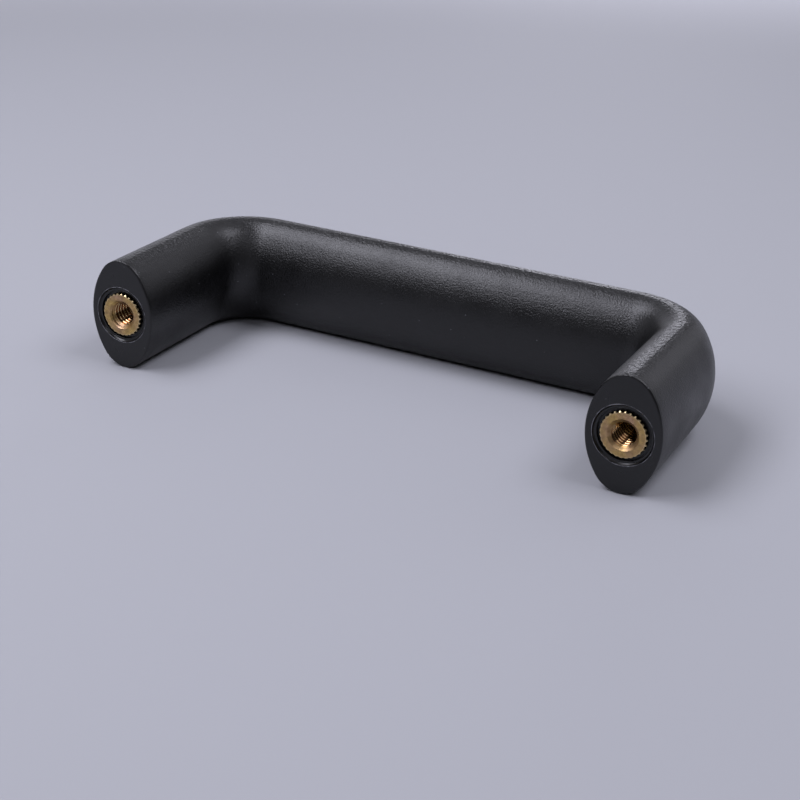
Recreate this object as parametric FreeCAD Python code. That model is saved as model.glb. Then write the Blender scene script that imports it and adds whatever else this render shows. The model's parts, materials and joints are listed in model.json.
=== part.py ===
import FreeCAD, Part
import math
import os

# Bridge pull handle: a moulded U of oval bar with a threaded brass insert in the end of each leg.
# It lies on its side. X runs along the grip, Y from the mounting face to the grip, Z across the bar.
# The origin is midway between the two screw holes, on the mounting face, at half the bar's height.
# All lengths are in millimetres.

# The U, measured on the middle line of the bar
hole_spacing = 117.0         # between the axes of the two screw holes
grip_distance = 43.0         # from the mounting face to the middle of the grip
bend_radius = 14.0           # where a leg turns into the grip

# The bar's section, an oval of two flanks and four shoulders, with a narrow cap along the top and
# the bottom, where the two halves of the mould met
bar_width = 15.8             # in the plane of the U
bar_height = 25.0            # across the plane of the U
cap_width = 1.2              # between the two creases that edge a cap
cap_crown = 0.01             # rise of the cap's middle above its creases, so it is all but flat
shoulder_drop = 2.83         # from a cap's crease down to the shoulder's outer edge
shoulder_bulge = 0.53        # of a shoulder's arc outside its chord, so that it runs on into the flank
flank_bulge = 2.93           # of a flank's arc outside its chord
foot_edge_radius = 0.4       # round the end face of a leg
foot_edge_strips = 3         # flat strips that shape this round edge

# The shallow round recess in each end face, left by the pin that held the insert in the mould
recess_margin = 1.4          # round the insert's teeth
recess_depth = 0.45

# The brass insert: a knurled band, a groove that the plastic grips, a second band and a plain tail
insert_length = 13.0
knurl_diameter = 9.8         # over the teeth
tooth_height = 0.3
tooth_count = 28
tooth_land_share = 0.25      # share of the tooth spacing that is left flat on a tooth's tip
front_band_length = 5.0
groove_width = 2.4
groove_depth = 1.1           # below the tips of the teeth
tail_length = 1.3
tail_step = 0.5              # from the tips of the teeth down to the tail
rim_chamfer = 0.15
tail_chamfer = 0.5

# Its blind hole, at the size it has before the M6 thread is cut
hole_diameter = 5.0
lead_in = 0.8                # of the 45 degree bevel at the hole's mouth, along the radius
drill_point_angle = 118.0    # of the cone at the hole's end
end_wall = 0.5               # of brass past the cone's point

leg_axis = hole_spacing / 2
bend_centre_x = leg_axis - bend_radius
bend_centre_y = grip_distance - bend_radius
knurl_radius = knurl_diameter / 2
rear_band_start = front_band_length + groove_width
rear_band_end = insert_length - tail_length
over = 1.0                   # how far a cutting tool reaches past the face that it opens


def at(x, y, z):
    return FreeCAD.Vector(x, y, z)


def bulged_arc(start, end, bulge):
    # an arc between two points of the section, standing out from their chord to the left of its way
    along_x = end[0] - start[0]
    along_z = end[1] - start[1]
    chord = math.hypot(along_x, along_z)
    middle_x = (start[0] + end[0]) / 2 - bulge * along_z / chord
    middle_z = (start[1] + end[1]) / 2 + bulge * along_x / chord
    arc = Part.Arc(at(start[0], 0, start[1]), at(middle_x, 0, middle_z), at(end[0], 0, end[1]))
    return arc.toShape()


def bar_section():
    # the section of the bar in the mounting face, round the origin, drawn clockwise from the top cap
    cap_x = cap_width / 2
    cap_z = bar_height / 2 - cap_crown
    shoulder_x = bar_width / 2 - flank_bulge
    shoulder_z = cap_z - shoulder_drop
    right = [(cap_x, cap_z), (shoulder_x, shoulder_z), (shoulder_x, -shoulder_z), (cap_x, -cap_z)]
    left = [(-x, -z) for x, z in right]
    corners = [left[-1]] + right + left
    side_bulges = [cap_crown, shoulder_bulge, flank_bulge, shoulder_bulge]
    edges = []
    for i, bulge in enumerate(side_bulges * 2):
        edges.append(bulged_arc(corners[i], corners[i + 1], bulge))
    return Part.Face(Part.Wire(edges))


def rounded_end():
    # the first slice of a leg, whose outlines widen along a quarter circle from the end face
    full = bar_section()
    outlines = []
    for i in range(foot_edge_strips):
        turn = math.pi / 2 * i / foot_edge_strips
        inset = foot_edge_radius * (1 - math.sin(turn))
        depth = foot_edge_radius * (1 - math.cos(turn))
        outlines.append(full.makeOffset2D(-inset, join=1).OuterWire.translated(at(0, depth, 0)))
    outlines.append(full.OuterWire.translated(at(0, foot_edge_radius, 0)))
    return Part.makeLoft(outlines, True, True)


def leg(side):
    # from the mounting face to the bend, with the end face's edge rounded
    start = bar_section().translated(at(0, foot_edge_radius, 0))
    straight = start.extrude(at(0, bend_centre_y - foot_edge_radius, 0))
    return straight.fuse(rounded_end()).translated(at(side * leg_axis, 0, 0))


def bend(side):
    # a quarter turn from the top of a leg into the grip
    start = bar_section().translated(at(side * leg_axis, bend_centre_y, 0))
    pivot = at(side * bend_centre_x, bend_centre_y, 0)
    return start.revolve(pivot, at(0, 0, side), 90)


def grip():
    # the straight bar between the two bends
    section = bar_section()
    section.rotate(at(0, 0, 0), at(0, 0, 1), 90)
    start = section.translated(at(-bend_centre_x, grip_distance, 0))
    return start.extrude(at(2 * bend_centre_x, 0, 0))


def turned(profile, centre_x):
    # a solid turned about an insert's axis, from (radius, depth) corners
    corners = [at(radius, depth, 0) for radius, depth in profile]
    wire = Part.makePolygon(corners + [corners[0]])
    solid = Part.Face(wire).revolve(at(0, 0, 0), at(0, 1, 0), 360)
    return solid.translated(at(centre_x, 0, 0))


def toothed_band(centre_x, start, end):
    # a prism of straight teeth, each with a flat land, between two depths
    root = knurl_radius - tooth_height
    pitch = 2 * math.pi / tooth_count
    half_land = pitch * tooth_land_share / 2
    corners = []
    for i in range(tooth_count):
        tooth = i * pitch
        for radius, angle in ((root, tooth - pitch / 2), (knurl_radius, tooth - half_land),
                              (knurl_radius, tooth + half_land)):
            corners.append(at(centre_x + radius * math.cos(angle), start, radius * math.sin(angle)))
    outline = Part.makePolygon(corners + [corners[0]])
    return Part.Face(outline).extrude(at(0, end - start, 0))


def insert_blank(centre_x):
    # the insert before its hole is made
    waist = knurl_radius - groove_depth
    tail = knurl_radius - tail_step
    core = turned([(0, 0), (waist, 0), (waist, rear_band_end), (tail, rear_band_end),
                   (tail, insert_length - tail_chamfer), (tail - tail_chamfer, insert_length),
                   (0, insert_length)], centre_x)
    rim = turned([(0, 0), (knurl_radius - rim_chamfer, 0), (knurl_radius + over, rim_chamfer + over),
                  (knurl_radius + over, front_band_length), (0, front_band_length)], centre_x)
    front_band = toothed_band(centre_x, 0, front_band_length).common(rim)
    rear_band = toothed_band(centre_x, rear_band_start, rear_band_end)
    return core.fuse([front_band, rear_band]).removeSplitter()


def insert_hole(centre_x):
    # lead-in, round wall and drill cone, as one cutting tool that starts in front of the end face
    wall = hole_diameter / 2
    cone_depth = wall / math.tan(math.radians(drill_point_angle / 2))
    cone_point = insert_length - end_wall
    return turned([(0, -over), (wall + lead_in + over, -over), (wall, lead_in),
                   (wall, cone_point - cone_depth), (0, cone_point)], centre_x)


def recess(centre_x):
    radius = knurl_radius + recess_margin
    return Part.makeCylinder(radius, recess_depth + over, at(centre_x, -over, 0), at(0, 1, 0))


def handle_body():
    # one moulded piece, shaped round both inserts
    pieces = [leg(-1), bend(-1), bend(1), leg(1)]
    body = grip().fuse(pieces).removeSplitter()
    for side in (-1, 1):
        body = body.cut(recess(side * leg_axis)).cut(insert_blank(side * leg_axis))
    return body


def insert(side):
    centre_x = side * leg_axis
    return insert_blank(centre_x).cut(insert_hole(centre_x))


os.makedirs("parts", exist_ok=True)
nodes = {
    "handle_body": handle_body(),
    "insert_left": insert(-1),
    "insert_right": insert(1),
}
for name, shape in nodes.items():
    solid = shape.Solids[0]
    solid.exportStep("parts/" + name + ".step")
    print(name, "volume", round(solid.Volume / 1000, 3), "cm3, valid", solid.isValid(), "solids", len(shape.Solids))
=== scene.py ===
import json
import math

import bpy
import bmesh
from mathutils import Matrix, Vector

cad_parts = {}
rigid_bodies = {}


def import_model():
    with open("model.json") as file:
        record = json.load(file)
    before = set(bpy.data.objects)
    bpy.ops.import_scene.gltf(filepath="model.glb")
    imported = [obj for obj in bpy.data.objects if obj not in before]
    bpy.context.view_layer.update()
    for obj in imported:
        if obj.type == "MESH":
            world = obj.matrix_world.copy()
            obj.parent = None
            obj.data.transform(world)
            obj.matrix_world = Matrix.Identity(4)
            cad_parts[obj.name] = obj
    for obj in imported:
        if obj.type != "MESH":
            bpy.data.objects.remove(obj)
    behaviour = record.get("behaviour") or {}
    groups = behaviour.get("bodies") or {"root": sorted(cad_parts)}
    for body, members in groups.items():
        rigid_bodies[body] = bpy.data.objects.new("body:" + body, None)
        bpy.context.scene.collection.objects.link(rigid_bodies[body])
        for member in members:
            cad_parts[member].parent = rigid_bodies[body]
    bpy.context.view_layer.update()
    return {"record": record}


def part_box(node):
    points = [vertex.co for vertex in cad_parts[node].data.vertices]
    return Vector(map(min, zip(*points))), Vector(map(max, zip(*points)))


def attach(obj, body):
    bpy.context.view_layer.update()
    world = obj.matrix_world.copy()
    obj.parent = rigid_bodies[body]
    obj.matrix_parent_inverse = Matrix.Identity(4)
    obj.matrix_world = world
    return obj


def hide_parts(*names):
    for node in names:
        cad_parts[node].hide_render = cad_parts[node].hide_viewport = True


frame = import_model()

mm = 0.001                    # the pieces below are written in millimetres and built in metres
weldDistance = 0.0004 * mm    # points closer than this become one
shortEdge = 0.0002 * mm       # edges shorter than this go


# Helpers

def meshPiece(name, verts, faces):
    mesh = bpy.data.meshes.new(name)
    mesh.from_pydata([Vector(v) * mm for v in verts], [], faces)
    build = bmesh.new()
    build.from_mesh(mesh)
    bmesh.ops.remove_doubles(build, verts=build.verts, dist=weldDistance)
    bmesh.ops.dissolve_degenerate(build, edges=build.edges, dist=shortEdge)
    bmesh.ops.recalc_face_normals(build, faces=build.faces)
    build.to_mesh(mesh)
    build.free()
    piece = bpy.data.objects.new(name, mesh)
    bpy.context.scene.collection.objects.link(piece)
    return piece


def smoothBelow(piece, degrees):
    # smooth shading, with edges steeper than this left sharp
    piece.data.shade_smooth()
    piece.data.set_sharp_from_angle(angle=math.radians(degrees))


def ringFaces(first, ringCount, count):
    # the faces between closed rings of equally many points, the first ring's points starting at first
    faces = []
    for r in range(ringCount - 1):
        a = first + r * count
        for i in range(count):
            j = (i + 1) % count
            faces.append((a + i, a + j, a + count + j, a + count + i))
    return faces


def srgb(hexCode):
    # a colour as it is written, turned to linear light
    parts = [int(hexCode[i:i + 2], 16) / 255 for i in (1, 3, 5)]
    return tuple(c / 12.92 if c <= 0.04045 else ((c + 0.055) / 1.055) ** 2.4 for c in parts) + (1.0,)


def newMaterial(name):
    made = bpy.data.materials.new(name)
    made.use_nodes = True
    made.node_tree.nodes.clear()
    return made


def addNode(material, kind, settings=(), **links):
    # a node with its settings; a link names an input, or gives its number as in0, and what feeds it
    node = material.node_tree.nodes.new("ShaderNode" + kind)
    for key, value in dict(settings).items():
        setattr(node, key, value)
    for key, value in links.items():
        numbered = key.startswith("in") and key[2:].isdigit()
        socket = node.inputs[int(key[2:])] if numbered else node.inputs[key.replace("_", " ")]
        if isinstance(value, bpy.types.NodeSocket):
            material.node_tree.links.new(value, socket)
        else:
            socket.default_value = value
    return node


def perMetre(sizeInMm):
    # the scale of a pattern whose cells are this size
    return 1 / (sizeInMm * mm)


# The handle's own sizes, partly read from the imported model

bodyLow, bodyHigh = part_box("handle_body")
insertLow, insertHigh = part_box("insert_right")
legAxis = max(m["pos_m"][0] for m in frame["record"]["mounts"] if m["kind"] == "threaded_hole") / mm
floorHeight = bodyLow.z / mm

bar = {
    "halfWidth": bodyHigh.x / mm - legAxis,
    "halfHeight": bodyHigh.z / mm,
    "gripAxis": bodyHigh.y / mm - (bodyHigh.x / mm - legAxis),
    "bendRadius": 14.0,
    "capHalf": 0.6,           # from a cap's middle to the crease beside it
    "capCrown": 0.01,
    "shoulderDrop": 2.83,
    "shoulderBulge": 0.53,
    "flankBulge": 2.93,
    "creaseSoftness": 0.1,    # how far a crease is rounded to each side
    "creaseClear": 0.13,      # the section's other points stay this far from a crease
    "footEdge": 0.4,
    "recessRadius": 6.3,
    "recessDepth": 0.45,
    "recessTaper": 0.3,       # how much narrower the recess is at its floor
    "floorCorner": 0.06,      # the small bevel between the recess's floor and its wall, along the floor
    "wallCorner": 0.04,       # and along the wall
    "lip": 0.08,              # the radius of the small raised lip round the recess and round the gap
    "gapRadius": 5.5,         # of the narrow gap that the mould's pin left round the insert's teeth
    "gapDepth": 1.0,
    "seatOverlap": 0.05,      # the hidden seat lies this far inside the valleys between the teeth
    "capSteps": 4,
    "shoulderSteps": 18,
    "flankSteps": 44,
    "creaseSteps": 4,
    "lipSteps": 8,
    "faceShares": (0.15, 0.4, 0.7, 0.92),   # places of the rings between the recess and the edge
    "edgeSteps": 6,
    "legSteps": 9,
    "bendSteps": 36,
    "gripSteps": 16,
    "sharpAngle": 38,         # degrees
}

# The knurled outside of an insert, which the plastic is moulded round

knurl = {
    "tipRadius": (insertHigh.x - insertLow.x) / 2 / mm,
    "toothHeight": 0.3,
    "toothCount": 28,
    "landShare": 0.25,        # share of the tooth spacing that is left flat on a tooth's tip
    "rimBevel": 0.2,
    "frontBand": 5.0,
    "groove": 2.4,
    "grooveDepth": 1.1,
    "tailLength": 1.3,
    "tailStep": 0.5,
    "tailBevel": 0.5,
    "faceSteps": 4,           # rings on the face, between the bevel and the teeth
    "sharpAngle": 24,         # degrees
}


def arcPoints(start, end, bulge, steps):
    # points from start towards end along an arc that bulges to the left, the last one left out
    chord = end - start
    side = Vector((-chord.y, chord.x)).normalized()
    radius = (chord.length ** 2 / 4 + bulge ** 2) / (2 * bulge)
    centre = (start + end) / 2 - side * (radius - bulge)
    first = start - centre
    sweep = 2 * math.asin(chord.length / 2 / radius)
    points = []
    for i in range(steps):
        turn = -sweep * i / steps
        points.append(centre + Matrix.Rotation(turn, 2) @ first)
    return points


def sectionOutline():
    # the bar's section, clockwise from the left end of the top cap, with each crease rounded a little
    capZ = bar["halfHeight"] - bar["capCrown"]
    shoulderX = bar["halfWidth"] - bar["flankBulge"]
    shoulderZ = capZ - bar["shoulderDrop"]
    right = [Vector((bar["capHalf"], capZ)), Vector((shoulderX, shoulderZ)),
             Vector((shoulderX, -shoulderZ)), Vector((bar["capHalf"], -capZ))]
    corners = [-right[-1]] + right + [-p for p in right]
    cap = (bar["capCrown"], bar["capSteps"])
    shoulder = (bar["shoulderBulge"], bar["shoulderSteps"])
    flank = (bar["flankBulge"], bar["flankSteps"])
    arcs = []
    for i, (bulge, steps) in enumerate([cap, shoulder, flank, shoulder] * 2):
        arcs.append(arcPoints(corners[i], corners[i + 1], bulge, steps))
    outline = []
    for i, arc in enumerate(arcs):
        corner = corners[i]
        start = corner + (arcs[i - 1][-1] - corner).normalized() * bar["creaseSoftness"]
        end = corner + (arc[1] - corner).normalized() * bar["creaseSoftness"]
        for k in range(bar["creaseSteps"] + 1):
            t = k / bar["creaseSteps"]
            outline.append(start * (1 - t) ** 2 + corner * 2 * t * (1 - t) + end * t ** 2)
        for point in arc[1:]:
            toCrease = min((point - corner).length, (point - corners[i + 1]).length)
            if toCrease > bar["creaseClear"]:
                outline.append(point)
    return outline


def inset(outline, distance):
    # the outline moved inwards along its own normals
    moved = []
    count = len(outline)
    for i, point in enumerate(outline):
        along = (outline[(i + 1) % count] - outline[i - 1]).normalized()
        moved.append(point - Vector((-along.y, along.x)) * distance)
    return moved


def barRing(outline, centre, outward):
    # the section set square to the middle line; outward is the direction away from the U's inside
    return [(centre.x + outward.x * p.x, centre.y + outward.y * p.x, p.y) for p in outline]


def footRings(side):
    # from the insert's seat up the gap round its teeth, over the recess, the end face and its edge,
    # as rings round one leg, in order along the surface
    outline = sectionOutline()
    centre = Vector((side * legAxis, 0))
    outward = Vector((side, 0))
    angles = [math.atan2(p.y, p.x) for p in outline]

    def endRing(radius, depth):
        return [(centre.x + outward.x * radius * math.cos(a), depth, radius * math.sin(a)) for a in angles]

    def lipRings(radius, depth):
        # a half-round lip that starts at this radius and stands out past this depth
        lip = bar["lip"]
        rings = []
        for k in range(bar["lipSteps"] + 1):
            turn = math.pi * k / bar["lipSteps"]
            rings.append(endRing(radius + lip * (1 - math.cos(turn)), depth - lip * math.sin(turn)))
        return rings

    seat = knurl["tipRadius"] - knurl["toothHeight"] - bar["seatOverlap"]
    floorRadius = bar["recessRadius"] - bar["recessTaper"]
    rings = [endRing(seat, insertHigh.y / mm), endRing(seat, bar["gapDepth"])]
    rings.append(endRing(bar["gapRadius"], bar["gapDepth"]))
    rings += lipRings(bar["gapRadius"], bar["recessDepth"])
    rings.append(endRing(floorRadius - bar["floorCorner"], bar["recessDepth"]))
    rings.append(endRing(floorRadius, bar["recessDepth"] - bar["wallCorner"]))
    rings += lipRings(bar["recessRadius"], 0)
    face = [Vector((p[0] - centre.x, p[2])) for p in rings[-1]]
    rim = [Vector((outward.x * p.x, p.y)) for p in inset(outline, bar["footEdge"])]
    for share in bar["faceShares"]:
        between = [a.lerp(b, share) for a, b in zip(face, rim)]
        rings.append([(centre.x + p.x, 0, p.y) for p in between])
    for k in range(bar["edgeSteps"] + 1):
        turn = math.pi / 2 * k / bar["edgeSteps"]
        ring = barRing(inset(outline, bar["footEdge"] * (1 - math.sin(turn))), centre, outward)
        depth = bar["footEdge"] * (1 - math.cos(turn))
        rings.append([(x, depth, z) for x, y, z in ring])
    return rings


def straightRings(outline, start, end, outward, steps):
    # along a straight stretch of the middle line, without its two ends
    return [barRing(outline, start.lerp(end, k / steps), outward) for k in range(1, steps)]


def bendRings(outline, centre, firstTurn):
    # round a quarter turn, with its two ends
    rings = []
    for k in range(bar["bendSteps"] + 1):
        turn = firstTurn + math.pi / 2 * k / bar["bendSteps"]
        outward = Vector((math.cos(turn), math.sin(turn)))
        rings.append(barRing(outline, centre + outward * bar["bendRadius"], outward))
    return rings


def buildBody():
    # one closed skin from the bottom of one insert's seat, over the whole U, to the bottom of the other's
    outline = sectionOutline()
    count = len(outline)
    bendX = legAxis - bar["bendRadius"]
    bendY = bar["gripAxis"] - bar["bendRadius"]
    rightFoot = Vector((legAxis, bar["footEdge"]))
    rightTop = Vector((legAxis, bendY))
    gripRight = Vector((bendX, bar["gripAxis"]))
    gripLeft = Vector((-bendX, bar["gripAxis"]))
    leftTop = Vector((-legAxis, bendY))
    leftFoot = Vector((-legAxis, bar["footEdge"]))
    rings = footRings(1)
    rings += straightRings(outline, rightFoot, rightTop, Vector((1, 0)), bar["legSteps"])
    rings += bendRings(outline, Vector((bendX, bendY)), 0)
    rings += straightRings(outline, gripRight, gripLeft, Vector((0, 1)), bar["gripSteps"])
    rings += bendRings(outline, Vector((-bendX, bendY)), math.pi / 2)
    rings += straightRings(outline, leftTop, leftFoot, Vector((-1, 0)), bar["legSteps"])
    rings += footRings(-1)[::-1]
    verts = [p for ring in rings for p in ring]
    faces = ringFaces(0, len(rings), count)
    faces.append(tuple(range(count)))
    faces.append(tuple(range(len(verts) - count, len(verts))))
    piece = meshPiece("handle_moulding", verts, faces)
    smoothBelow(piece, bar["sharpAngle"])
    return piece


body = buildBody()
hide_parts("handle_body")
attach(body, "root")
print("body:", len(body.data.polygons), "faces")


# The brass inserts

thread = {
    "pitch": 1.0,
    "crestRadius": 2.46,      # of the M6 thread's ridges, measured from the hole's axis
    "height": 0.56,           # of a ridge
    "crestRound": 0.14,       # the radius that rounds a ridge's top
    "rootRound": 0.08,        # the radius that rounds the bottom of its groove
    "crestAngles": range(-60, 61, 20),   # degrees, of the points round a ridge's top
    "rootAngles": range(-60, 61, 30),    # degrees, of the points round a groove's bottom
    "mouthRadius": 3.3,
    "fullDepth": 9.6,         # where the thread runs out
    "wallDepth": 11.0,
    "coneDepth": 12.5,
    "pitchesBefore": 2,       # worked out in front of the face and cut off there, so that none is missing
    "pitchesPast": 3,         # the same behind the thread's end
    "startTooth": {-1: 22, 1: 3},        # the tooth beside which each insert's thread begins
}


def knurlAngles():
    # one angle for the valley and two for the land of each tooth
    pitch = 2 * math.pi / knurl["toothCount"]
    half = knurl["landShare"] / 2
    return [(i + share) * pitch for i in range(knurl["toothCount"]) for share in (-0.5, -half, half)]


def toothedRing(depth, radiusLimit):
    # one ring of the knurled outline, cut back to a radius where the rim is bevelled
    root = knurl["tipRadius"] - knurl["toothHeight"]
    ring = []
    for i, angle in enumerate(knurlAngles()):
        r = min(root if i % 3 == 0 else knurl["tipRadius"], radiusLimit)
        ring.append((r * math.cos(angle), depth, r * math.sin(angle)))
    return ring


def roundRing(radius, depth):
    return [(radius * math.cos(angle), depth, radius * math.sin(angle)) for angle in knurlAngles()]


def threadProfile():
    # one pitch of the thread, from crest to crest, as places along the axis and radii
    profile = []
    for degrees in thread["crestAngles"]:
        turn = math.radians(degrees)
        profile.append((thread["crestRound"] * math.sin(turn),
                        thread["crestRadius"] + thread["crestRound"] * (1 - math.cos(turn))))
    rootRadius = thread["crestRadius"] + thread["height"]
    for degrees in thread["rootAngles"]:
        turn = math.radians(degrees)
        profile.append((thread["pitch"] / 2 + thread["rootRound"] * math.sin(turn),
                        rootRadius - thread["rootRound"] * (1 - math.cos(turn))))
    return profile


def threadedWall(side):
    # rows follow the helix, so that crests and roots keep their shape, and columns stand at the
    # knurl's angles, so that the mouth fits the face; the thread is right-handed, so it goes deeper
    # as it turns clockwise
    profile = threadProfile()
    angles = knurlAngles()
    count = len(angles)
    lastPitch = int(thread["fullDepth"] / thread["pitch"]) + thread["pitchesPast"]
    pitches = range(-thread["pitchesBefore"], lastPitch)
    first = 3 * thread["startTooth"][side]   # a tooth has three angles
    verts = []
    for s in range(count + 1):
        angle = angles[(first - s) % count] - (2 * math.pi if s > first else 0)
        turned = (angles[first] - angle) / (2 * math.pi) if s < count else 1.0
        for k in pitches:
            for along, radius in profile:
                depth = (k + turned) * thread["pitch"] + along
                fade = min(max((thread["fullDepth"] - depth) / thread["pitch"], 0), 1)
                r = thread["crestRadius"] + (radius - thread["crestRadius"]) * fade
                depth = min(max(depth, 0), thread["wallDepth"])
                r = max(r, thread["mouthRadius"] - depth)
                verts.append((r * math.cos(angle), depth, r * math.sin(angle)))
    rows = len(profile) * len(pitches)
    faces = []
    for s in range(count):
        for row in range(rows - 1):
            a = s * rows + row
            faces.append((a, a + 1, a + rows + 1, a + rows))
    return verts, faces


def buildInsert(side):
    verts, faces = threadedWall(side)
    tip = knurl["tipRadius"]
    waist = tip - knurl["grooveDepth"]
    tail = tip - knurl["tailStep"]
    bandEnd = knurl["frontBand"] + knurl["groove"]
    length = insertHigh.y / mm
    tailStart = length - knurl["tailLength"]
    mouth = thread["mouthRadius"]
    innerFace = tip - knurl["toothHeight"] - knurl["rimBevel"]
    rings = []
    for k in range(knurl["faceSteps"] + 1):
        rings.append(roundRing(mouth + (innerFace - mouth) * k / knurl["faceSteps"], 0))
    rings.append(toothedRing(0, tip - knurl["rimBevel"]))
    rings.append(toothedRing(knurl["rimBevel"], tip))
    rings.append(toothedRing(knurl["frontBand"], tip))
    rings.append(roundRing(waist, knurl["frontBand"]))
    rings.append(roundRing(waist, bandEnd))
    rings.append(toothedRing(bandEnd, tip))
    rings.append(toothedRing(tailStart, tip))
    rings.append(roundRing(tail, tailStart))
    rings.append(roundRing(tail, length - knurl["tailBevel"]))
    rings.append(roundRing(tail - knurl["tailBevel"], length))
    count = len(rings[0])
    outer = len(verts)
    verts += [p for ring in rings for p in ring]
    faces += ringFaces(outer, len(rings), count)
    faces.append(tuple(range(len(verts) - count, len(verts))))
    wallEnd = len(verts)
    verts += roundRing(thread["crestRadius"], thread["wallDepth"])
    verts.append((0, thread["coneDepth"], 0))
    for i in range(count):
        faces.append((wallEnd + i, wallEnd + (i + 1) % count, wallEnd + count))
    placed = [(x + side * legAxis, y, z) for x, y, z in verts]
    name = "threaded_insert_left" if side < 0 else "threaded_insert_right"
    piece = meshPiece(name, placed, faces)
    smoothBelow(piece, knurl["sharpAngle"])
    return piece


inserts = {}
for side, node in ((-1, "insert_left"), (1, "insert_right")):
    inserts[node] = buildInsert(side)
    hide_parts(node)
    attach(inserts[node], "root")
    print(node, len(inserts[node].data.polygons), "faces")


# Black glass-filled polyamide, moulded in a spark-eroded tool: nearly black, with a fine pebbled
# grain that breaks a highlight into specks. The grain is coarser along the land where the mould's
# halves met, which is also a little glossier. The end faces came from smooth steel, so they have
# less grain, and the lip that stands out of them has a painted highlight, a pale colour in patches.
# A few pale grains of dust lie on the plastic

polyamide = {
    "colour": "#070708",
    "ior": 1.53,
    "roughness": 0.35,
    "smoothRoughness": 0.3,
    "patch": 7.0,             # mm, the size of the faint uneven patches in the gloss
    "patchRange": (0.3, 0.7),
    "patchShare": 0.05,       # how far they move the roughness
    "grain": 0.36,            # mm, the width of a pebble; real ones are 0.1 mm, too fine to show
    "grainHeight": 0.085,     # mm
    "grainRoughness": 0.6,
    "faceGrain": 0.3,         # share of the grain that is left on the end faces
    "faceDepth": 0.6,         # mm, the end faces with their recess lie before this depth
    "faceBlend": 0.2,         # mm
    "landGrain": 0.7,         # mm, the width of the coarser bumps on the land and beside it
    "landGrainHeight": 0.2,   # mm
    "landShoulder": 11.5,     # mm, the height where these start
    "landEdge": 12.47,        # mm, the land lies past this height
    "landBlend": 0.03,        # mm
    # the pale colour of the lip round the recess is a painted highlight, in patches
    "lipHighlightColour": "#77777e",
    "lipHighlightPatch": 1.1,       # mm
    "lipHighlightRange": (0.4, 0.6),
    "lipHighlightLeast": 0.25,      # how pale the lip's painted highlight is between its patches, as a share
    "lipHighlightBand": (0.2, 0.7),  # shares of the lip's height between which the painted highlight sets in
    "dustColour": "#9a9ba2",
    "dustSpacing": 1.6,       # mm
    "dustSize": 0.13,         # mm, the radius of a grain
    "dustShare": 0.25,        # of the places where a grain could lie
}


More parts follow.
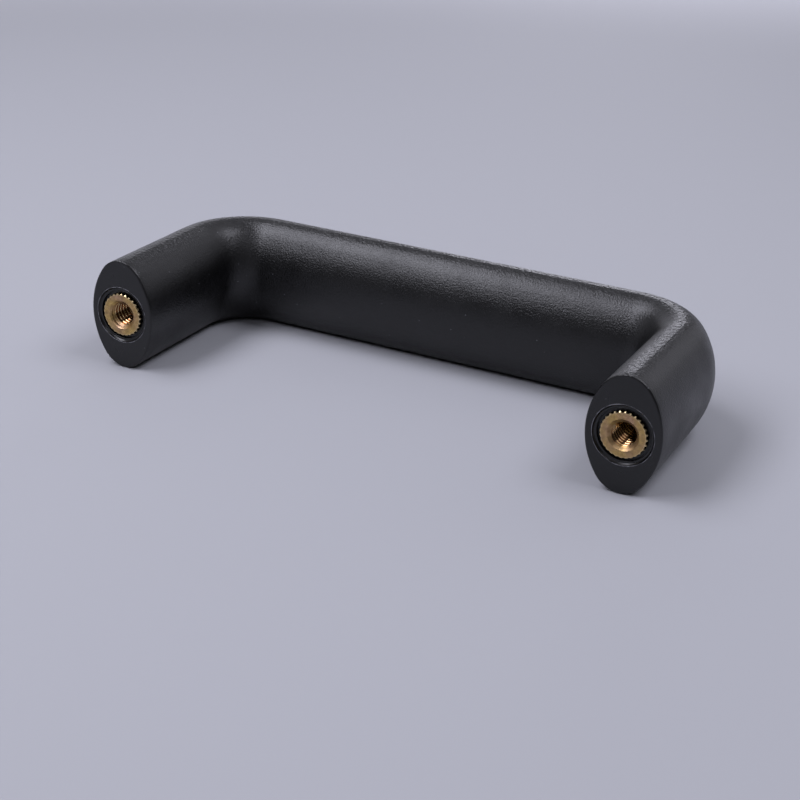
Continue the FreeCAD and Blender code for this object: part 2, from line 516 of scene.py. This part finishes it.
def makePolyamide():
    m = newMaterial("black polyamide, fine spark-eroded grain")
    place = addNode(m, "TexCoord").outputs["Object"]
    axes = addNode(m, "SeparateXYZ", Vector=place).outputs
    height = addNode(m, "Math", {"operation": "ABSOLUTE"}, in0=axes["Z"]).outputs[0]
    onLand = addNode(m, "MapRange", Value=height,
                     From_Min=(polyamide["landEdge"] - polyamide["landBlend"]) * mm,
                     From_Max=polyamide["landEdge"] * mm).outputs[0]
    onFace = addNode(m, "MapRange", Value=axes["Y"],
                     From_Min=(polyamide["faceDepth"] + polyamide["faceBlend"]) * mm,
                     From_Max=polyamide["faceDepth"] * mm).outputs[0]
    grain = addNode(m, "TexNoise", Vector=place, Scale=perMetre(polyamide["grain"]), Detail=2.0,
                    Roughness=polyamide["grainRoughness"])
    fineHeight = addNode(m, "MapRange", Value=onFace, To_Min=polyamide["grainHeight"] * mm,
                         To_Max=polyamide["faceGrain"] * polyamide["grainHeight"] * mm).outputs[0]
    fine = addNode(m, "Math", {"operation": "MULTIPLY"}, in0=grain.outputs["Fac"], in1=fineHeight).outputs[0]
    swell = addNode(m, "TexNoise", Vector=place, Scale=perMetre(polyamide["landGrain"]), Detail=1.0)
    swellHeight = addNode(m, "MapRange", Value=height, From_Min=polyamide["landShoulder"] * mm,
                          From_Max=polyamide["landEdge"] * mm, To_Min=0.0,
                          To_Max=polyamide["landGrainHeight"] * mm).outputs[0]
    relief = addNode(m, "Math", {"operation": "MULTIPLY_ADD"}, in0=swell.outputs["Fac"], in1=swellHeight,
                     in2=fine).outputs[0]
    bump = addNode(m, "Bump", Height=relief, Strength=1.0, Distance=1.0).outputs["Normal"]
    smooth = addNode(m, "Math", {"operation": "MAXIMUM"}, in0=onLand, in1=onFace).outputs[0]
    gloss = addNode(m, "MapRange", Value=smooth, To_Min=polyamide["roughness"],
                    To_Max=polyamide["smoothRoughness"]).outputs[0]
    patch = addNode(m, "TexNoise", Vector=place, Scale=perMetre(polyamide["patch"]), Detail=3.0)
    uneven = addNode(m, "MapRange", Value=patch.outputs["Fac"], From_Min=polyamide["patchRange"][0],
                     From_Max=polyamide["patchRange"][1], To_Min=-polyamide["patchShare"],
                     To_Max=polyamide["patchShare"]).outputs[0]
    rough = addNode(m, "Math", {"operation": "ADD"}, in0=gloss, in1=uneven).outputs[0]
    cells = addNode(m, "TexVoronoi", Vector=place, Scale=perMetre(polyamide["dustSpacing"]))
    chance = addNode(m, "SeparateColor", Color=cells.outputs["Color"]).outputs["Red"]
    chosen = addNode(m, "Math", {"operation": "LESS_THAN"}, in0=chance, in1=polyamide["dustShare"]).outputs[0]
    near = addNode(m, "MapRange", Value=cells.outputs["Distance"], To_Min=1.0, To_Max=0.0, From_Min=0.0,
                   From_Max=polyamide["dustSize"] / polyamide["dustSpacing"]).outputs[0]
    dust = addNode(m, "Math", {"operation": "MULTIPLY"}, in0=near, in1=chosen).outputs[0]
    dusty = addNode(m, "Mix", {"data_type": "RGBA"}, in0=dust, in6=srgb(polyamide["colour"]),
                    in7=srgb(polyamide["dustColour"])).outputs[2]
    # a painted highlight on the lip round the recess: a pale colour in patches
    onLip = addNode(m, "MapRange", Value=axes["Y"], From_Min=-polyamide["lipHighlightBand"][0] * bar["lip"] * mm,
                    From_Max=-polyamide["lipHighlightBand"][1] * bar["lip"] * mm).outputs[0]
    lipHighlightNoise = addNode(m, "TexNoise", Vector=place, Scale=perMetre(polyamide["lipHighlightPatch"]), Detail=2.0)
    lipHighlightShare = addNode(m, "MapRange", Value=lipHighlightNoise.outputs["Fac"], From_Min=polyamide["lipHighlightRange"][0],
                        From_Max=polyamide["lipHighlightRange"][1], To_Min=polyamide["lipHighlightLeast"]).outputs[0]
    paintedLipHighlight = addNode(m, "Math", {"operation": "MULTIPLY"}, in0=onLip, in1=lipHighlightShare).outputs[0]
    colour = addNode(m, "Mix", {"data_type": "RGBA"}, in0=paintedLipHighlight, in6=dusty,
                     in7=srgb(polyamide["lipHighlightColour"])).outputs[2]
    shader = addNode(m, "BsdfPrincipled", Base_Color=colour, Roughness=rough, IOR=polyamide["ior"],
                     Normal=bump)
    addNode(m, "OutputMaterial", Surface=shader.outputs[0])
    return m


body.data.materials.append(makePolyamide())

# Free-cutting brass, turned and knurled: pale gold, with fine rings from the tool on its face, faint
# duller patches, and a slight tarnish towards pink. The teeth's corners are lighter, a painted
# highlight. The bevel is scored, which spreads its glint. The tapped thread is smoother, so its
# crests glint; their paler colour is a painted highlight, and the dark brown of its roots is painted
# shade. The knurl down in its gap is darkened with painted shade

brass = {
    "colour": "#c8a96a",
    "rimHighlightColour": "#e2cb9c",  # of the painted highlight on the knurled rim
    "rimHighlightWidth": 0.5,         # mm, how far in from the teeth it fades out
    "dullColour": "#957a58",
    "dullPatch": 0.9,         # mm
    "dullRange": (0.36, 0.78),
    "warmColour": "#bc9a7c",  # of the tarnish
    "warmPatch": 3.2,         # mm
    "warmRange": (0.38, 0.66),
    "roughness": 0.26,
    "dullRoughness": 0.4,
    "bevelRoughness": 0.44,
    "bevelStart": 0.1,        # mm, the bevel is fully scored from this depth
    "toolMark": 0.24,         # mm between two rings; real ones are 0.05 mm, too fine to show
    "toolMarkHeight": 0.004,  # mm
    "depthShare": 0.6,        # depth counts this much in the rings' spacing, so that a bevel has them too
    "pitting": 0.16,          # mm, the width of the small uneven spots
    "pittingHeight": 0.006,   # mm
    # the crests' paler colour is a painted highlight, the roots' dark brown is painted shade
    "crestHighlightColour": "#ecd2a0",
    "rootShadeColour": "#63391c",
    "rootShadeStart": 2.49,        # mm, the radius where the painted shade begins, and
    "rootShadeFull": 2.64,         # mm, where it is full
    "threadRoughness": 0.12,
    "threadStart": 0.75,      # mm below the face, where the bevel meets the thread
    "threadBlend": 0.6,       # mm
    "boreRadius": 3.4,        # mm, nothing outside this radius is thread
    "gapShadeColour": "#33271a",  # of the knurl down in its gap, painted shade
    "gapShadeDepth": 0.2,         # mm below the face, where that painted shade begins
    "gapShadeBlend": 0.25,        # mm
}


def makeBrass(name, centreX):
    m = newMaterial(name)
    place = addNode(m, "TexCoord").outputs["Object"]
    centred = addNode(m, "VectorMath", {"operation": "SUBTRACT"}, in0=place,
                      in1=(centreX * mm, 0, 0)).outputs[0]
    across = addNode(m, "VectorMath", {"operation": "MULTIPLY"}, in0=centred, in1=(1, 0, 1)).outputs[0]
    radius = addNode(m, "VectorMath", {"operation": "LENGTH"}, in0=across).outputs["Value"]
    depth = addNode(m, "SeparateXYZ", Vector=place).outputs["Y"]
    # where the thread, the bevel and the outside are
    deep = addNode(m, "MapRange", Value=depth, From_Min=brass["threadStart"] * mm,
                   From_Max=(brass["threadStart"] + brass["threadBlend"]) * mm).outputs[0]
    inBore = addNode(m, "Math", {"operation": "LESS_THAN"}, in0=radius,
                     in1=brass["boreRadius"] * mm).outputs[0]
    onThread = addNode(m, "Math", {"operation": "MULTIPLY"}, in0=deep, in1=inBore).outputs[0]
    below = addNode(m, "MapRange", Value=depth, From_Max=brass["bevelStart"] * mm).outputs[0]
    onBevel = addNode(m, "Math", {"operation": "MULTIPLY"}, in0=below, in1=inBore).outputs[0]
    outside = addNode(m, "Math", {"operation": "GREATER_THAN"}, in0=radius,
                      in1=brass["boreRadius"] * mm).outputs[0]
    # painted shade on the knurl down in its gap, below this depth
    gapShadeRamp = addNode(m, "MapRange", Value=depth, From_Min=brass["gapShadeDepth"] * mm,
                   From_Max=(brass["gapShadeDepth"] + brass["gapShadeBlend"]) * mm).outputs[0]
    paintedGapShade = addNode(m, "Math", {"operation": "MULTIPLY"}, in0=gapShadeRamp, in1=outside).outputs[0]
    # rings from the tool, and small spots
    marks = addNode(m, "Math", {"operation": "SUBTRACT"}, in0=1.0, in1=onThread).outputs[0]
    travel = addNode(m, "Math", {"operation": "MULTIPLY_ADD"}, in0=depth, in1=brass["depthShare"],
                     in2=radius).outputs[0]
    phase = addNode(m, "Math", {"operation": "MULTIPLY"}, in0=travel,
                    in1=2 * math.pi / (brass["toolMark"] * mm)).outputs[0]
    rings = addNode(m, "Math", {"operation": "SINE"}, in0=phase).outputs[0]
    turned = addNode(m, "Bump", Height=rings, Strength=marks,
                     Distance=brass["toolMarkHeight"] / 2 * mm).outputs["Normal"]
    spots = addNode(m, "TexNoise", Vector=place, Scale=perMetre(brass["pitting"]), Detail=2.0)
    pitted = addNode(m, "Bump", Height=spots.outputs["Fac"], Strength=marks,
                     Distance=brass["pittingHeight"] * mm, Normal=turned).outputs["Normal"]
    # colour
    patch = addNode(m, "TexNoise", Vector=place, Scale=perMetre(brass["dullPatch"]), Detail=4.0)
    dull = addNode(m, "MapRange", Value=patch.outputs["Fac"], From_Min=brass["dullRange"][0],
                   From_Max=brass["dullRange"][1]).outputs[0]
    broad = addNode(m, "TexNoise", Vector=place, Scale=perMetre(brass["warmPatch"]), Detail=1.0)
    warm = addNode(m, "MapRange", Value=broad.outputs["Fac"], From_Min=brass["warmRange"][0],
                   From_Max=brass["warmRange"][1]).outputs[0]
    fresh = addNode(m, "Mix", {"data_type": "RGBA"}, in0=warm, in6=srgb(brass["colour"]),
                    in7=srgb(brass["warmColour"])).outputs[2]
    face = addNode(m, "Mix", {"data_type": "RGBA"}, in0=dull, in6=fresh,
                   in7=srgb(brass["dullColour"])).outputs[2]
    # a painted highlight: the teeth's corners lighter all round the rim
    rim = addNode(m, "MapRange", {"interpolation_type": "SMOOTHSTEP"}, Value=radius,
                  From_Min=(knurl["tipRadius"] - brass["rimHighlightWidth"]) * mm,
                  From_Max=(knurl["tipRadius"] - knurl["rimBevel"] / 2) * mm).outputs[0]
    rimHighlighted = addNode(m, "Mix", {"data_type": "RGBA"}, in0=rim, in6=face,
                    in7=srgb(brass["rimHighlightColour"])).outputs[2]
    # painted shade in the thread's roots, and a painted highlight on its crests
    rootShadeMask = addNode(m, "MapRange", Value=radius, From_Min=brass["rootShadeStart"] * mm,
                  From_Max=brass["rootShadeFull"] * mm).outputs[0]
    groove = addNode(m, "Mix", {"data_type": "RGBA"}, in0=rootShadeMask, in6=srgb(brass["crestHighlightColour"]),
                     in7=srgb(brass["rootShadeColour"])).outputs[2]
    bright = addNode(m, "Mix", {"data_type": "RGBA"}, in0=onThread, in6=rimHighlighted, in7=groove).outputs[2]
    colour = addNode(m, "Mix", {"data_type": "RGBA"}, in0=paintedGapShade, in6=bright,
                     in7=srgb(brass["gapShadeColour"])).outputs[2]
    # gloss
    faceRough = addNode(m, "MapRange", Value=dull, To_Min=brass["roughness"],
                        To_Max=brass["dullRoughness"]).outputs[0]
    bevelRough = addNode(m, "Mix", in0=onBevel, in2=faceRough, in3=brass["bevelRoughness"]).outputs[0]
    rough = addNode(m, "Mix", in0=onThread, in2=bevelRough, in3=brass["threadRoughness"]).outputs[0]
    shader = addNode(m, "BsdfPrincipled", Base_Color=colour, Metallic=1.0, Roughness=rough, Normal=pitted)
    addNode(m, "OutputMaterial", Surface=shader.outputs[0])
    return m


for node, side in (("insert_left", -1), ("insert_right", 1)):
    inserts[node].data.materials.append(makeBrass("turned free-cutting brass, " + node, side * legAxis))
print("materials done")


# Floor, light and camera

studio = {
    "floorSize": 30000.0,     # mm
    "floorColour": "#a5a6ab",
    "floorRoughness": 0.8,
    "farColour": "#a7a8b5",   # the tone of the lit floor round the handle
    "farStart": 400.0,        # mm from the handle, where the lamps' light begins to fall off
    "farFull": 820.0,
    "worldColour": "#e8e8ea",
    "worldStrength": 0.07,
    "lampColour": "#f2f2ff",
    "lampDistance": 700.0,    # mm
    "lampAim": 20.0,          # mm behind the mounting face, near the handle's middle
}


def makePaper():
    # matt paper; far from the lamps it gives off the pale tone that it has under them, so that the
    # background stays even up to the horizon
    m = newMaterial("matt paper")
    place = addNode(m, "TexCoord").outputs["Object"]
    reach = addNode(m, "VectorMath", {"operation": "LENGTH"}, in0=place).outputs["Value"]
    far = addNode(m, "MapRange", {"interpolation_type": "SMOOTHSTEP"}, Value=reach,
                  From_Min=studio["farStart"] * mm, From_Max=studio["farFull"] * mm).outputs[0]
    rays = addNode(m, "LightPath").outputs
    cameraOrGloss = addNode(m, "Math", {"operation": "ADD"}, in0=rays["Is Camera Ray"],
                            in1=rays["Is Glossy Ray"]).outputs[0]
    shown = addNode(m, "Math", {"operation": "ADD", "use_clamp": True}, in0=cameraOrGloss,
                    in1=rays["Is Transmission Ray"]).outputs[0]
    glow = addNode(m, "Math", {"operation": "MULTIPLY"}, in0=far, in1=shown).outputs[0]
    shader = addNode(m, "BsdfPrincipled", Base_Color=srgb(studio["floorColour"]),
                     Roughness=studio["floorRoughness"], Emission_Color=srgb(studio["farColour"]),
                     Emission_Strength=glow)
    addNode(m, "OutputMaterial", Surface=shader.outputs[0])
    return m


half = studio["floorSize"] / 2
floorCorners = [(x, y, floorHeight) for x, y in ((-half, -half), (half, -half), (half, half), (-half, half))]
floor = meshPiece("studio_floor", floorCorners, [(0, 1, 2, 3)])
floor.data.materials.append(makePaper())

world = bpy.data.worlds.new("studio")
bpy.context.scene.world = world
world.use_nodes = True
world.node_tree.nodes["Background"].inputs["Color"].default_value = srgb(studio["worldColour"])
world.node_tree.nodes["Background"].inputs["Strength"].default_value = studio["worldStrength"]


def awayFromHandle(azimuth, elevation):
    # azimuth 0 is in front of the end faces, and 90 is to the right
    a = math.radians(azimuth)
    e = math.radians(elevation)
    return Vector((math.sin(a) * math.cos(e), -math.cos(a) * math.cos(e), math.sin(e)))


def softLamp(name, azimuth, elevation, width, height, power):
    # a rectangular soft box that faces the handle
    away = awayFromHandle(azimuth, elevation)
    data = bpy.data.lights.new(name, "AREA")
    data.shape = "RECTANGLE"
    data.size = width * mm
    data.size_y = height * mm
    data.energy = power
    data.color = srgb(studio["lampColour"])[:3]
    lamp = bpy.data.objects.new(name, data)
    lamp.location = away * studio["lampDistance"] * mm + Vector((0, studio["lampAim"] * mm, 0))
    lamp.rotation_euler = away.to_track_quat("Z", "Y").to_euler()
    bpy.context.scene.collection.objects.link(lamp)


softLamp("front left soft box", 325, 45, 290, 260, 1.75)
softLamp("upper left soft box", 284, 60, 400, 290, 2.55)
softLamp("front right soft box", 28, 47, 420, 260, 0.36)
softLamp("right soft box", 99, 59, 340, 320, 2.1)
softLamp("low back soft box", 194, 14, 200, 260, 0.44)
softLamp("low left back soft box", 217, 9, 500, 200, 0.32)
softLamp("left back soft box", 234, 28, 420, 230, 0.22)
softLamp("low right back soft box", 150, 22, 560, 420, 0.55)
softLamp("low left soft box", 284, 22, 450, 200, 0.2)
softLamp("back soft box", 180, 58, 700, 460, 0.6)

view = {
    "azimuth": 26.781,        # degrees
    "elevation": 24.406,
    "roll": 2.005,
    "target": (14.211, -6.860, -0.493),   # mm
    "distance": 322.02,       # mm
    "focalPixels": 1624.7,    # the focal length, measured in pixels of the photograph
    "frameWidth": 800,        # pixels
    "sensorWidth": 36.0,      # mm
    "nearest": 10.0,          # mm, nothing nearer is shown, and
    "farthest": 20000.0,      # mm, nothing farther
}
camData = bpy.data.cameras.new("camera")
camera = bpy.data.objects.new("camera", camData)
bpy.context.scene.collection.objects.link(camera)
back = awayFromHandle(view["azimuth"], view["elevation"])
roll = Matrix.Rotation(math.radians(view["roll"]), 3, "Z").to_quaternion()
camera.location = (Vector(view["target"]) + back * view["distance"]) * mm
camera.rotation_mode = "QUATERNION"
camera.rotation_quaternion = back.to_track_quat("Z", "Y") @ roll
camData.sensor_width = view["sensorWidth"]
camData.lens = camData.sensor_width * view["focalPixels"] / view["frameWidth"]
camData.clip_start = view["nearest"] * mm
camData.clip_end = view["farthest"] * mm
bpy.context.scene.camera = camera
bpy.context.scene.view_settings.view_transform = "Standard"
print("stage done")
